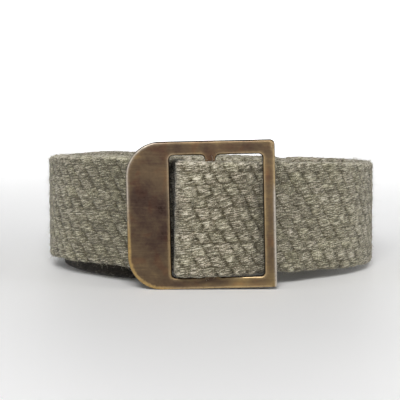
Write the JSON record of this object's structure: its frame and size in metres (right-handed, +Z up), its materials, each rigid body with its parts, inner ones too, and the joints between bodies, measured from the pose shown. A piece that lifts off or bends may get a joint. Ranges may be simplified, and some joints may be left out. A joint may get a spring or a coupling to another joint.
{
  "type": "stretch webbing belt with slide buckle",
  "caption": "Chunky woven stretch webbing belt closed into a ring through a flat antique brass slide buckle, standing on its edge.",
  "frame": {"origin": "middle of the belt's bounding box, on the surface that it stands on", "axes": "+Z up across the webbing's width, the buckle's face towards -Y, +X to the right of the buckle seen from the front"},
  "size_m": [0.1282, 0.141, 0.0514],
  "materials": {
    "webbing": "matt melange yarn, grey-green and beige, coarse weave",
    "buckle": "antique brass with dark patina, polished at its edges"
  },
  "bodies": {
    "root": {"webbing": "webbing", "buckle": "buckle"}
  },
  "joints": []
}
